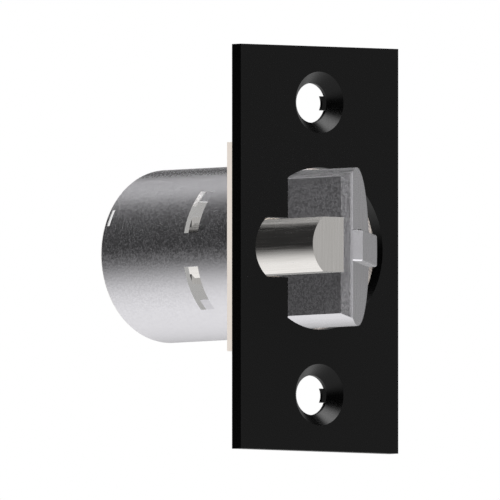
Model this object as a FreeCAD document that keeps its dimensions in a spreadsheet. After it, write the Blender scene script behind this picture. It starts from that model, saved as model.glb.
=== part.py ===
import FreeCAD, Part
import math
import os
import Sketcher

# Deadlatch for a door edge: a latchbolt and a deadlocking plunger in a round tube
# behind a rectangular faceplate. Millimetres. +X points out of the door edge, +Y
# across the door's thickness, +Z up. The origin is the centre of the faceplate's
# front face.

os.makedirs("parts", exist_ok=True)
doc = FreeCAD.newDocument("deadlatch")
sheet = doc.addObject("Spreadsheet::Sheet", "sizes")
subparts = []


class Size:
    """A length that keeps its value and the expression that it came from."""

    def __init__(self, value, text):
        self.value = value
        self.text = text

    def joined(self, sign, other, result):
        text = other.text if isinstance(other, Size) else repr(other)
        return Size(result, "(" + self.text + " " + sign + " " + text + ")")

    def __add__(self, other):
        return self.joined("+", other, self.value + number(other))

    def __sub__(self, other):
        return self.joined("-", other, self.value - number(other))

    def __mul__(self, other):
        return self.joined("*", other, self.value * number(other))

    def __truediv__(self, other):
        return self.joined("/", other, self.value / number(other))

    def __neg__(self):
        return Size(-self.value, "(-1 * " + self.text + ")")


def number(size):
    return size.value if isinstance(size, Size) else float(size)


def leg(radius, across):
    """Length of the other leg of a right triangle: radius is its longest side."""
    value = math.sqrt(number(radius) ** 2 - number(across) ** 2)
    return Size(value, "sqrt(" + radius.text + " ^ 2 - " + across.text + " ^ 2)")


def size(name, value, meaning):
    """Write one driving dimension into the sheet and hand it back."""
    row = str(size.row)
    size.row += 1
    sheet.set("A" + row, meaning)
    sheet.set("B" + row, str(value))
    sheet.setAlias("B" + row, name)
    return Size(value, "sizes." + name)


size.row = 1

# Faceplate and its screw holes
plate_width = size("plate_width", 28.575, "faceplate width")
plate_height = size("plate_height", 57.15, "faceplate height")
plate_thick = size("plate_thick", 2.0, "faceplate thickness")
screw_spacing = size("screw_spacing", 41.275, "distance between the screw holes")
screw_r = size("screw_r", 2.8, "screw hole radius")
sink_r = size("sink_r", 4.35, "countersink radius at the front face")
sink_angle = size("sink_angle", 82.0, "countersink angle in degrees")
collar_r = size("collar_r", 3.6, "radius of the pressed collar behind a screw hole")
collar_depth = size("collar_depth", 0.4, "height of that collar")

# Flange plate and tube
flange_height = size("flange_height", 29.5, "flange plate height")
flange_thick = size("flange_thick", 1.1, "flange plate thickness")
tube_wall = size("tube_wall", 0.75, "tube wall")
tube_gap = size("tube_gap", 0.28, "gap between the tube and the bolt in it")
tube_rear = size("tube_rear", 34.1, "rear rim of the tube, behind the front face")
rim_round = size("rim_round", 0.3, "rounding of the tube's rear rim")
window_front = size("window_front", 12.55, "front edge of the tube's windows")
window_rear = size("window_rear", 15.6, "rear edge of the tube's windows")
window_low = size("window_low", 2.38, "window edge nearest to the middle")
window_high = size("window_high", 8.36, "window edge furthest from the middle")
tab_width = size("tab_width", 2.1, "tab width")
tab_end = size("tab_end", 7.6, "distance of the tab's end from the tube's axis")

# Latchbolt
bolt_r = size("bolt_r", 11.17, "latchbolt radius")
bolt_flat = size("bolt_flat", 5.6, "distance of the bolt's flat from the axis")
bolt_reach = size("bolt_reach", 12.65, "how far the bolt stands out")
bolt_throw = size("bolt_throw", 12.7, "bolt travel")
band_length = size("band_length", 0.98, "length of the bevelled band beside the bolt's tip")
band_width = size("band_width", 1.4, "width of that band")
rib_half = size("rib_half", 2.25, "half width of the rib on the bevel")
rib_land = size("rib_land", 1.8, "width of the rib's front land")
rib_round = size("rib_round", 0.3, "rounding of the rib's edges")
tip_round = size("tip_round", 0.2, "rounding of the bolt's tip")
channel_half = size("channel_half", 6.95, "half width of the bolt's channel for the plunger")
ear_gap = size("ear_gap", 0.05, "gap between the bolt's ears and the flange plate")
tooth_length = size("tooth_length", 1.5, "tooth length at its foot")
relief_depth = size("relief_depth", 2.0, "how far the bolt's rear stands back behind the teeth")

# Plunger
plunger_arc = size("plunger_arc", 4.89, "radius of the plunger's round side")
plunger_half = size("plunger_half", 3.87, "half height of the plunger")
plunger_reach = size("plunger_reach", 12.45, "how far the plunger stands out")
plunger_throw = size("plunger_throw", 11.9, "plunger travel")
wing_low = size("wing_low", 6.6, "inner side of the wings, from the axis")
tab_bearing = size("tab_bearing", 0.55, "how far the wings reach behind the tabs")
foot_r = size("foot_r", 1.2, "radius of the foot that works the dog")
foot_low = size("foot_low", 4.1, "end of the foot that works the dog, from the axis")
foot_place = size("foot_place", 17.5, "place of the foot behind the front face")
foot_half = size("foot_half", 1.6, "half height of the foot")

# Clearances
plate_gap = size("plate_gap", 0.28, "gap between the faceplate's opening and the bolt")
plate_flat_gap = size("plate_flat_gap", 0.15, "gap at the opening's straight edge")
notch_gap = size("notch_gap", 0.33, "gap between the faceplate's notch and the plunger")
flange_gap = size("flange_gap", 0.1, "gap between the flange plate and what slides in it")
slide_gap = size("slide_gap", 0.25, "gap of sliding flat parts")
face_gap = size("face_gap", 0.1, "gap between flat faces that slide on each other")
end_gap = size("end_gap", 0.4, "gap left at the end of a travel")
outer_gap = size("outer_gap", 0.15, "gap between the plunger's round side and the tube")
dog_gap = size("dog_gap", 0.3, "gap between the dog and what passes it")
pin_gap = size("pin_gap", 0.05, "radial gap of a pin in what turns on it")
cap_gap = size("cap_gap", 0.05, "gap between the rear cap and the tube")
coil_gap = size("coil_gap", 0.3, "gap between a coil spring and its bore or rod")

cut_beyond = size("cut_beyond", 1.0, "how far a cut runs past the metal that it leaves")

# Tail
tail_thick = size("tail_thick", 2.0, "tail thickness")
tail_half = size("tail_half", 3.2, "half width of the tail's strip")
tail_neck = size("tail_neck", 2.75, "half width of the tail's neck")
tail_end = size("tail_end", 45.5, "rear end of the tail")
tee_half = size("tee_half", 4.5, "half width of the tail's rear head")
tee_length = size("tee_length", 3.0, "length of the tail's rear head")
neck_length = size("neck_length", 6.5, "length of the tail's neck")
head_front = size("head_front", 5.3, "front end of the tail's cross head")
head_length = size("head_length", 2.7, "length of the tail's cross head")
lost_motion = size("lost_motion", 1.5, "free travel of the tail before the bolt follows")
keeper_r = size("keeper_r", 0.55, "radius of the pins that keep the cross head in")
keeper_off = size("keeper_off", 4.35, "distance of those pins from the middle")
head_over = size("head_over", 0.65, "how far the cross head runs past the keeper pins' middle")
keeper_depth = size("keeper_depth", 0.95, "how deep those pins stand in the bolt in front")

# Rear cap
cap_thick = size("cap_thick", 1.2, "rear cap thickness")
cap_inset = size("cap_inset", 0.6, "distance of the rear cap from the tube's rim")
cap_half = size("cap_half", 6.2, "half height of the rear cap")
lug_low = size("lug_low", 3.95, "lug slot edge nearest to the middle")
lug_high = size("lug_high", 6.25, "lug slot edge furthest from the middle")
lug_thick = size("lug_thick", 0.45, "lug thickness")
lug_inset = size("lug_inset", 0.15, "step between the cap's rear face and its lugs")

# Dog, its pin, bracket and rivets
dog_half = size("dog_half", 1.8, "half width of the dog's arm")
dog_nose = size("dog_nose", 14.5, "front end of the dog's nose")
nose_half = size("nose_half", 3.45, "half width of the dog's nose")
nose_length = size("nose_length", 2.0, "length of the dog's nose")
nose_thick = size("nose_thick", 1.7, "thickness of the dog's nose")
pivot_off = size("pivot_off", 2.5, "distance of the pivot from the axis")
barrel_r = size("barrel_r", 1.2, "radius of the dog's barrel")
dog_pin_r = size("dog_pin_r", 0.6, "dog pin radius")
dog_lift = size("dog_lift", 7.7, "how far the dog turns, in degrees")
dog_spring_room = size("dog_spring_room", 1.3, "room on the pin for the dog's spring")
bracket_arm = size("bracket_arm", 1.0, "clear length of the bracket's ears behind the pin")
bracket_sheet = size("bracket_sheet", 0.7, "bracket sheet thickness")
bracket_r = size("bracket_r", 1.2, "radius of the bracket's ears round the pin")
rivet_r = size("rivet_r", 0.6, "bracket rivet radius")
rivet_head_r = size("rivet_head_r", 1.0, "bracket rivet head radius")
rivet_head = size("rivet_head", 0.35, "bracket rivet head height")
rivet_off = size("rivet_off", 4.1, "distance of the rivets from the middle")

# Springs and their rods
latch_coil_r = size("latch_coil_r", 2.6, "mean radius of the latch spring")
latch_wire_r = size("latch_wire_r", 0.3, "wire radius of the latch spring")
latch_turns = size("latch_turns", 11.0, "turns of the latch spring")
latch_off = size("latch_off", 6.0, "distance of the latch spring from the axis")
latch_seat = size("latch_seat", 3.0, "bottom of the latch spring's bore")
rod_clear = size("rod_clear", 1.3, "room between a rod and the bore's bottom when pushed in")
rod_rim = size("rod_rim", 0.9, "how far a rod's riveted head runs past its shank")
plunger_coil_r = size("plunger_coil_r", 1.45, "mean radius of the plunger spring")
plunger_wire_r = size("plunger_wire_r", 0.22, "wire radius of the plunger spring")
plunger_turns = size("plunger_turns", 13.0, "turns of the plunger spring")
plunger_off = size("plunger_off", 8.5, "distance of the plunger spring from the axis")
plunger_seat = size("plunger_seat", 4.0, "bottom of the plunger spring's bore")
rod_head = size("rod_head", 0.4, "height of the rods' riveted heads")
dog_coil_r = size("dog_coil_r", 0.9, "mean radius of the dog spring")
dog_wire_r = size("dog_wire_r", 0.13, "wire radius of the dog spring")
dog_turns = size("dog_turns", 2.5, "turns of the dog spring")

zero = Size(0.0, "0")
doc.recompute()

# Places that several pieces share, all distances behind the front face or from the axis
flange_rear = plate_thick + flange_thick
tube_inner = bolt_r + tube_gap
tube_r = tube_inner + tube_wall
cap_rear = tube_rear - cap_inset
cap_front = cap_rear - cap_thick
tail_half_thick = tail_thick / 2
tab_high = channel_half - face_gap
tab_low = tab_high - tab_width
tab_rear = window_rear + tube_wall
plunger_flat = bolt_flat + face_gap
plunger_outer = tube_inner - outer_gap
plunger_centre = plunger_outer - plunger_arc
plunger_rear = cap_front - plunger_throw - end_gap
wing_half = tab_low + tab_bearing
wing_high = leg(plunger_outer, wing_half)
dog_level = tail_half_thick + dog_gap
groove_half = nose_half + slide_gap
groove_front = dog_nose - bolt_throw - end_gap
tooth_rear = dog_nose - dog_gap
tooth_half = dog_half + end_gap
tooth_low = dog_level + nose_thick + dog_gap
bolt_rear = tooth_rear + relief_depth
relief_half = keeper_off + keeper_r + face_gap
head_half = keeper_off + head_over
head_rear = head_front + head_length
tail_side = tail_half_thick + slide_gap / 2
keeper_across = -(tail_side + keeper_r)
pivot_place = cap_front - bracket_sheet - bracket_arm - bracket_r
latch_rod_r = latch_coil_r - latch_wire_r - coil_gap
plunger_rod_r = plunger_coil_r - plunger_wire_r - coil_gap


def body(name):
    """One sub-part with a feature history, known by its label."""
    made = doc.addObject("PartDesign::Body", name)
    made.Label = name
    subparts.append(made)
    return made


def sketch_on(piece, name, role, offset=zero):
    """A sketch on one of the body's own origin planes, set off along its normal."""
    made = piece.newObject("Sketcher::SketchObject", name)
    plane = [item for item in piece.Origin.OriginFeatures if item.Role == role][0]
    made.AttachmentSupport = (plane, [""])
    made.MapMode = "FlatFace"
    made.AttachmentOffset = FreeCAD.Placement(FreeCAD.Vector(0, 0, offset.value), FreeCAD.Rotation())
    made.setExpression("AttachmentOffset.Base.z", offset.text)
    return made


def hold(made, kind, geometry, point, place):
    """Bind one coordinate of a sketch point; a place of 0 puts it on the axis."""
    if abs(place.value) < 1e-9:
        axis = -2 if kind == "DistanceX" else -1
        made.addConstraint(Sketcher.Constraint("PointOnObject", geometry, point, axis))
        return
    if place.value > 0:
        bond = Sketcher.Constraint(kind, -1, 1, geometry, point, place.value)
        text = place.text
    else:
        bond = Sketcher.Constraint(kind, geometry, point, -1, 1, -place.value)
        text = "-1 * " + place.text
    index = made.addConstraint(bond)
    made.setExpression("Constraints[" + str(index) + "]", text)


def circle(made, across, up, radius):
    """A bound circle in a sketch."""
    centre = FreeCAD.Vector(across.value, up.value, 0)
    index = made.addGeometry(Part.Circle(centre, FreeCAD.Vector(0, 0, 1), radius.value), False)
    hold(made, "DistanceX", index, 3, across)
    hold(made, "DistanceY", index, 3, up)
    bond = made.addConstraint(Sketcher.Constraint("Radius", index, radius.value))
    made.setExpression("Constraints[" + str(bond) + "]", radius.text)


class Bend:
    """An arc from one corner to the next: its centre, radius and sense."""

    def __init__(self, across, up, radius, anticlockwise):
        self.across = across
        self.up = up
        self.radius = radius
        self.anticlockwise = anticlockwise


def outline(made, corners):
    """A closed profile. A corner is (across, up) or (across, up, Bend to the next one).

    A corner that an arc touches is held by its up value alone: the arc gives the other.
    """
    count = len(corners)
    spots = [FreeCAD.Vector(corner[0].value, corner[1].value, 0) for corner in corners]
    edges = []
    for index, corner in enumerate(corners):
        start, end = spots[index], spots[(index + 1) % count]
        if len(corner) == 2:
            edges.append((made.addGeometry(Part.LineSegment(start, end), False), 1, 2))
            continue
        bend = corner[2]
        centre = FreeCAD.Vector(bend.across.value, bend.up.value, 0)
        ring = Part.Circle(centre, FreeCAD.Vector(0, 0, 1), bend.radius.value)
        first, last = (start, end) if bend.anticlockwise else (end, start)
        angles = [math.atan2(spot.y - centre.y, spot.x - centre.x) for spot in (first, last)]
        geometry = made.addGeometry(Part.ArcOfCircle(ring, angles[0], angles[1]), False)
        edges.append((geometry, 1, 2) if bend.anticlockwise else (geometry, 2, 1))
        hold(made, "DistanceX", geometry, 3, bend.across)
        hold(made, "DistanceY", geometry, 3, bend.up)
        bond = made.addConstraint(Sketcher.Constraint("Radius", geometry, bend.radius.value))
        made.setExpression("Constraints[" + str(bond) + "]", bend.radius.text)
    for index, edge in enumerate(edges):
        following = edges[(index + 1) % count]
        join = Sketcher.Constraint("Coincident", edge[0], edge[2], following[0], following[1])
        made.addConstraint(join)
    for index, corner in enumerate(corners):
        curved = len(corner) == 3 or len(corners[index - 1]) == 3
        if not curved:
            hold(made, "DistanceX", edges[index][0], edges[index][1], corner[0])
        hold(made, "DistanceY", edges[index][0], edges[index][1], corner[1])


def block(made, left, right, bottom, top):
    """A bound rectangle in a sketch."""
    outline(made, [(left, bottom), (right, bottom), (right, top), (left, top)])


def pad(piece, made, length, midplane=False):
    """Add material from a sketch along its normal."""
    feature = piece.newObject("PartDesign::Pad", made.Name + "_pad")
    feature.Profile = made
    feature.Midplane = midplane
    feature.Length = length.value
    feature.setExpression("Length", length.text)
    made.Visibility = False
    doc.recompute()
    return feature


def pocket(piece, made, length, midplane=False, along_normal=False):
    """Cut a sketch out of the body, against its normal unless told otherwise."""
    before = piece.Shape.Volume
    feature = piece.newObject("PartDesign::Pocket", made.Name + "_pocket")
    feature.Profile = made
    feature.Midplane = midplane
    feature.Reversed = along_normal
    feature.Length = length.value
    feature.setExpression("Length", length.text)
    made.Visibility = False
    doc.recompute()
    if not piece.Shape.Volume < before - 1e-6:
        raise ValueError(made.Name + " cuts nothing out of " + piece.Label)
    return feature


def fillet(piece, radius, wanted, name):
    """Round the edges whose middle points pass a test."""
    tip = piece.Tip
    names = []
    for index, edge in enumerate(tip.Shape.Edges):
        middle = edge.valueAt((edge.FirstParameter + edge.LastParameter) / 2)
        if wanted(edge, middle):
            names.append("Edge" + str(index + 1))
    feature = piece.newObject("PartDesign::Fillet", name)
    feature.Base = (tip, names)
    feature.Radius = radius.value
    feature.setExpression("Radius", radius.text)
    doc.recompute()
    return feature


def opening(piece, gap, flat_gap, side_gap, front, depth):
    """The D-shaped hole with a notch that the bolt and the plunger slide through."""
    radius = bolt_r + gap
    edge = -(bolt_flat + flat_gap)
    top = leg(radius, bolt_flat + flat_gap)
    dee = sketch_on(piece, piece.Label + "_dee", "YZ_Plane", front)
    index = dee.addGeometry(
        Part.ArcOfCircle(
            Part.Circle(FreeCAD.Vector(0, 0, 0), FreeCAD.Vector(0, 0, 1), radius.value),
            -math.atan2(top.value, edge.value),
            math.atan2(top.value, edge.value),
        ),
        False,
    )
    corners = [FreeCAD.Vector(edge.value, sign * top.value, 0) for sign in (1, -1)]
    side = dee.addGeometry(Part.LineSegment(corners[0], corners[1]), False)
    dee.addConstraint(Sketcher.Constraint("Coincident", index, 3, -1, 1))
    dee.addConstraint(Sketcher.Constraint("Coincident", index, 2, side, 1))
    dee.addConstraint(Sketcher.Constraint("Coincident", index, 1, side, 2))
    dee.addConstraint(Sketcher.Constraint("Vertical", side))
    bond = dee.addConstraint(Sketcher.Constraint("Radius", index, radius.value))
    dee.setExpression("Constraints[" + str(bond) + "]", radius.text)
    hold(dee, "DistanceX", side, 1, edge)
    pocket(piece, dee, depth)

    half = plunger_half + side_gap
    arc = plunger_arc + side_gap
    shoulder = -(plunger_centre + leg(arc, half))
    notch = sketch_on(piece, piece.Label + "_notch", "YZ_Plane", front)
    round_end = Bend(-plunger_centre, zero, arc, True)
    corners = [(zero, -half), (zero, half), (shoulder, half, round_end), (shoulder, -half)]
    outline(notch, corners)
    pocket(piece, notch, depth)


def make_faceplate():
    piece = body("faceplate")
    plate = sketch_on(piece, "faceplate_outline", "YZ_Plane", -plate_thick)
    block(plate, -(plate_width / 2), plate_width / 2, -(plate_height / 2), plate_height / 2)
    pad(piece, plate, plate_thick)
    rear = -(plate_thick + collar_depth)
    collars = sketch_on(piece, "screw_collars", "YZ_Plane", rear)
    holes = sketch_on(piece, "screw_holes", "YZ_Plane", zero)
    for level in (screw_spacing / 2, -(screw_spacing / 2)):
        circle(collars, zero, level, collar_r)
        circle(holes, zero, level, screw_r)
    pad(piece, collars, collar_depth)
    pocket(piece, holes, plate_thick + collar_depth)
    for side, level in (("upper", screw_spacing / 2), ("lower", -(screw_spacing / 2))):
        cone = piece.newObject("PartDesign::SubtractiveCone", side + "_countersink")
        slope = math.tan(math.radians(sink_angle.value / 2))
        depth = Size(
            (sink_r.value - screw_r.value) / slope,
            "(sizes.sink_r - sizes.screw_r) / tan(sizes.sink_angle / 2 * 1 deg)",
        )
        cone.setExpression("Radius1", screw_r.text)
        cone.setExpression("Radius2", sink_r.text)
        cone.setExpression("Height", depth.text)
        cone.Placement = FreeCAD.Placement(
            FreeCAD.Vector(-depth.value, 0, level.value),
            FreeCAD.Rotation(FreeCAD.Vector(0, 1, 0), 90),
        )
        cone.setExpression("Placement.Base.x", (-depth).text)
        cone.setExpression("Placement.Base.z", level.text)
        doc.recompute()
    opening(piece, plate_gap, plate_flat_gap, notch_gap, zero, plate_thick)


def make_flange_plate():
    piece = body("flange_plate")
    plate = sketch_on(piece, "flange_outline", "YZ_Plane", -flange_rear)
    block(plate, -(plate_width / 2), plate_width / 2, -(flange_height / 2), flange_height / 2)
    pad(piece, plate, flange_thick)
    opening(piece, flange_gap, flange_gap, flange_gap, -plate_thick, flange_thick)


def wall_block(made, side, low, high, inner, radius):
    """A block on one side of the axis, from a straight inner end out to an arc round the axis."""
    if side > 0:
        low, high = high, low
    bend = Bend(zero, zero, radius, True)
    near = inner * side
    outline(
        made,
        [(near, low), (near, high), (leg(radius, high) * side, high, bend), (leg(radius, low) * side, low)],
    )


def make_housing_tube():
    piece = body("housing_tube")
    ring = sketch_on(piece, "tube_section", "YZ_Plane", -tube_rear)
    circle(ring, zero, zero, tube_r)
    circle(ring, zero, zero, tube_inner)
    pad(piece, ring, tube_rear - flange_rear)
    windows = sketch_on(piece, "tube_windows", "XZ_Plane")
    block(windows, -window_rear, -window_front, window_low, window_high)
    block(windows, -window_rear, -window_front, -window_high, -window_low)
    pocket(piece, windows, tube_r + tube_wall, along_normal=True)
    tabs = sketch_on(piece, "tube_tabs", "YZ_Plane", -tab_rear)
    wall_block(tabs, -1, tab_low, tab_high, tab_end, tube_inner + tube_wall / 2)
    wall_block(tabs, -1, -tab_high, -tab_low, tab_end, tube_inner + tube_wall / 2)
    pad(piece, tabs, tube_wall)
    slot_rear = cap_rear - lug_inset + cap_gap
    slot_front = slot_rear - lug_thick - cap_gap * 2
    upper_slot = sketch_on(piece, "upper_lug_slot", "XZ_Plane")
    block(upper_slot, -slot_rear, -slot_front, lug_low, lug_high)
    pocket(piece, upper_slot, tube_r + tube_wall, along_normal=True)
    lower_slot = sketch_on(piece, "lower_lug_slot", "XZ_Plane")
    block(lower_slot, -slot_rear, -slot_front, -lug_high, -lug_low)
    pocket(piece, lower_slot, tube_r + tube_wall)
    rim = -tube_rear.value

    def is_rim(edge, middle):
        return abs(middle.x - rim) < 1e-6 and abs(edge.Length - 2 * math.pi * tube_r.value) < 0.01

    fillet(piece, rim_round, is_rim, "rim_rounding")


def make_rear_cap():
    piece = body("rear_cap")
    disc = sketch_on(piece, "cap_outline", "YZ_Plane", -cap_rear)
    radius = tube_inner - cap_gap
    end = leg(radius, cap_half)
    bend = Bend(zero, zero, radius, True)
    outline(disc, [(end, -cap_half, bend), (end, cap_half), (-end, cap_half, bend), (-end, -cap_half)])
    pad(piece, disc, cap_thick)
    lugs = sketch_on(piece, "cap_lugs", "YZ_Plane", -(cap_rear - lug_inset))
    wall_block(lugs, -1, lug_low + cap_gap, lug_high - cap_gap, zero, tube_r - cap_gap)
    wall_block(lugs, 1, -(lug_high - cap_gap), -(lug_low + cap_gap), zero, tube_r - cap_gap)
    pad(piece, lugs, lug_thick)
    cuts = sketch_on(piece, "cap_cuts", "YZ_Plane", -cap_front)
    side = tail_half_thick + slide_gap
    block(cuts, -side, side, -(tail_half + slide_gap), tail_half + slide_gap)
    circle(cuts, latch_off, zero, latch_rod_r)
    circle(cuts, -plunger_off, zero, plunger_rod_r)
    for level in (rivet_off, -rivet_off):
        circle(cuts, -pivot_off, level, rivet_r)
    pocket(piece, cuts, cap_thick)


def make_latchbolt():
    piece = body("latchbolt")
    bar = sketch_on(piece, "bolt_section", "YZ_Plane", -bolt_rear)
    circle(bar, zero, zero, bolt_r)
    pad(piece, bar, bolt_rear + bolt_reach)
    outside = bolt_r * 2
    front = bolt_reach + cut_beyond
    behind = -(bolt_rear + cut_beyond)
    over_flat = -(bolt_flat + cut_beyond)
    ear_front = -(flange_rear + ear_gap)

    flat = sketch_on(piece, "bolt_flat", "XY_Plane")
    block(flat, ear_front, front, -outside, -bolt_flat)
    pocket(piece, flat, outside * 2, midplane=True)

    channel = sketch_on(piece, "plunger_channel", "XY_Plane")
    block(channel, behind, ear_front + cut_beyond, -outside, -bolt_flat)
    pocket(piece, channel, channel_half * 2, midplane=True)

    band_edge = -bolt_flat + band_width
    band = sketch_on(piece, "bolt_band", "XY_Plane")
    band_slope = band_width / band_length
    outline(
        band,
        [
            (bolt_reach - band_length, -bolt_flat),
            (bolt_reach - band_length, over_flat),
            (front, over_flat),
            (front, band_edge + band_slope * cut_beyond),
        ],
    )
    pocket(piece, band, outside * 2, midplane=True)

    rib_corner = band_edge + rib_land
    bevel = sketch_on(piece, "rib_bevel", "XY_Plane")
    outline(
        bevel,
        [
            (bolt_reach, rib_corner),
            (front, rib_corner - cut_beyond),
            (front, outside),
            (bolt_reach + rib_corner - outside, outside),
        ],
    )
    pocket(piece, bevel, outside * 2, midplane=True)

    for side, direction in (("upper", 1), ("lower", -1)):
        start = rib_half if direction > 0 else -rib_half
        slope = sketch_on(piece, side + "_bevel", "XY_Plane", start)
        outline(
            slope,
            [
                (bolt_reach, band_edge),
                (front, band_edge - cut_beyond),
                (front, outside),
                (bolt_reach + band_edge - outside, outside),
            ],
        )
        pocket(piece, slope, outside, along_normal=direction > 0)

    groove = sketch_on(piece, "dog_groove", "XY_Plane")
    block(groove, behind, -groove_front, over_flat, -tail_half_thick)
    pocket(piece, groove, tooth_half * 2, midplane=True)
    for side, direction in (("upper", 1), ("lower", -1)):
        start = tooth_half if direction > 0 else -tooth_half
        flank = sketch_on(piece, side + "_groove_side", "XY_Plane", start)
        outline(
            flank,
            [
                (behind, -tail_half_thick),
                (behind, over_flat),
                (-tooth_rear, over_flat),
                (-tooth_rear, -tooth_low),
                (-(tooth_rear - tooth_length), -tooth_low),
                (-(tooth_rear - tooth_length * 2), over_flat),
                (-groove_front, over_flat),
                (-groove_front, -tail_half_thick),
            ],
        )
        pocket(piece, flank, groove_half - tooth_half, along_normal=direction > 0)

    relief = sketch_on(piece, "bolt_relief", "XY_Plane")
    block(relief, behind, -tooth_rear, over_flat, dog_level)
    pocket(piece, relief, relief_half * 2, midplane=True)

    tail_slot = sketch_on(piece, "tail_slot", "XY_Plane")
    pocket_rear = head_rear + lost_motion
    block(tail_slot, behind, -(pocket_rear - cut_beyond), -(tail_half_thick + cut_beyond), tail_side)
    pocket(piece, tail_slot, (tail_half + slide_gap) * 2, midplane=True)
    head_pocket = sketch_on(piece, "head_pocket", "XY_Plane")
    block(head_pocket, -pocket_rear, -(head_front - slide_gap / 2), over_flat, tail_side)
    pocket(piece, head_pocket, (head_half + slide_gap) * 2, midplane=True)

    bore = sketch_on(piece, "latch_spring_bore", "YZ_Plane", -latch_seat)
    circle(bore, latch_off, zero, latch_coil_r + latch_wire_r + coil_gap)
    pocket(piece, bore, bolt_rear)
    keepers = sketch_on(piece, "keeper_holes", "YZ_Plane", -(head_front - keeper_depth))
    for level in (keeper_off, -keeper_off):
        circle(keepers, keeper_across, level, keeper_r)
    pocket(piece, keepers, bolt_rear)

    tip_y = band_edge.value
    reach = bolt_reach.value
    rib = rib_half.value
    corner = rib_corner.value

    def is_nose(edge, middle):
        sloped = abs(abs(middle.z) - rib) < 1e-6 and middle.y > tip_y + 0.01
        over_bevel = middle.x + middle.y > reach + tip_y + 0.05
        across = abs(middle.z) < 1e-6 and abs(middle.x - reach) < 1e-6
        land = across and abs(middle.y - corner) < 1e-6
        return land or (sloped and over_bevel and middle.x > 0.5)

    fillet(piece, rib_round, is_nose, "rib_rounding")

    def is_tip(edge, middle):
        beside_rib = abs(middle.z) > rib and edge.BoundBox.ZLength > edge.Length - 1e-6
        return beside_rib and abs(middle.x - reach) < 1e-6 and abs(middle.y - tip_y) < 1e-6

    fillet(piece, tip_round, is_tip, "tip_rounding")


def make_plunger():
    piece = body("plunger")
    bar = sketch_on(piece, "plunger_section", "YZ_Plane", -plunger_rear)
    shoulder = -(plunger_centre + leg(plunger_arc, plunger_half))
    bend = Bend(-plunger_centre, zero, plunger_arc, True)
    outline(
        bar,
        [
            (-plunger_flat, -plunger_half),
            (-plunger_flat, plunger_half),
            (shoulder, plunger_half, bend),
            (shoulder, -plunger_half),
        ],
    )
    pad(piece, bar, plunger_rear + plunger_reach)
    wings = sketch_on(piece, "stop_wings", "YZ_Plane", -plunger_rear)
    block(wings, -wing_high, -wing_low, -wing_half, wing_half)
    pad(piece, wings, plunger_rear - tab_rear)
    foot = sketch_on(piece, "dog_foot", "XY_Plane")
    circle(foot, -foot_place, -(foot_low + foot_r), foot_r)
    pad(piece, foot, foot_half * 2, midplane=True)
    bore = sketch_on(piece, "plunger_spring_bore", "YZ_Plane", -plunger_seat)
    circle(bore, -plunger_off, zero, plunger_coil_r + plunger_wire_r + coil_gap)
    pocket(piece, bore, plunger_rear)


def make_tailpiece():
    piece = body("tailpiece")
    strip = sketch_on(piece, "tail_outline", "XZ_Plane", -tail_half_thick)
    right = [
        (-head_front, head_half),
        (-head_rear, head_half),
        (-head_rear, tail_half),
        (-(tail_end - tee_length - neck_length), tail_half),
        (-(tail_end - tee_length - neck_length), tail_neck),
        (-(tail_end - tee_length), tail_neck),
        (-(tail_end - tee_length), tee_half),
        (-tail_end, tee_half),
    ]
    outline(strip, right + [(along, -across) for along, across in reversed(right)])
    pad(piece, strip, tail_thick)


def dog_edge_point(travel):
    """Where the plunger's foot would touch the resting dog after some travel."""
    turn = math.radians(dog_lift.value) * travel / plunger_throw.value
    along = pivot_place.value - foot_place.value - travel
    above = pivot_off.value - foot_low.value
    place = along * math.cos(turn) - above * math.sin(turn)
    height = along * math.sin(turn) + above * math.cos(turn)
    return FreeCAD.Vector(place - pivot_place.value, height - pivot_off.value + dog_gap.value / 2, 0)


def make_dog():
    """The arm's outer edge is the path of the plunger's foot, seen from the turning dog."""
    pivot = FreeCAD.Vector(-pivot_place.value, -pivot_off.value, 0)
    level = -dog_level.value
    nose = -dog_nose.value
    first, middle, last = [dog_edge_point(plunger_throw.value * part) for part in (0, 0.5, 1)]
    front_top = FreeCAD.Vector(nose - nose_length.value / 2, level - nose_thick.value, 0)
    rear_low = FreeCAD.Vector(pivot.x, level, 0)
    edges = [
        Part.LineSegment(rear_low, FreeCAD.Vector(nose, level, 0)).toShape(),
        Part.LineSegment(FreeCAD.Vector(nose, level, 0), FreeCAD.Vector(nose, front_top.y, 0)).toShape(),
        Part.LineSegment(FreeCAD.Vector(nose, front_top.y, 0), front_top).toShape(),
        Part.LineSegment(front_top, first).toShape(),
        Part.Arc(first, middle, last).toShape(),
        Part.LineSegment(last, rear_low).toShape(),
    ]
    width = FreeCAD.Vector(0, 0, dog_half.value * 2)
    arm = Part.Face(Part.Wire(edges)).extrude(width)
    arm.translate(FreeCAD.Vector(0, 0, -dog_half.value))
    top = dog_half.value - dog_spring_room.value
    axis = FreeCAD.Vector(0, 0, 1)
    foot_level = FreeCAD.Vector(pivot.x, pivot.y, -dog_half.value)
    room = Part.makeCylinder(barrel_r.value + dog_gap.value, dog_spring_room.value,
                             FreeCAD.Vector(pivot.x, pivot.y, top), axis)
    barrel = Part.makeCylinder(barrel_r.value, top + dog_half.value, foot_level, axis)
    wings = Part.makeBox(
        nose_length.value, nose_thick.value, nose_half.value * 2,
        FreeCAD.Vector(nose - nose_length.value, level - nose_thick.value, -nose_half.value),
    )
    bore = Part.makeCylinder(dog_pin_r.value + pin_gap.value, dog_half.value * 4,
                             FreeCAD.Vector(pivot.x, pivot.y, -dog_half.value * 2), axis)
    shape = arm.cut(room).fuse(barrel).fuse(wings).cut(bore).removeSplitter()
    made = doc.addObject("Part::Feature", "dog")
    made.Shape = shape
    made.Label = "dog"
    subparts.append(made)


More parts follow.
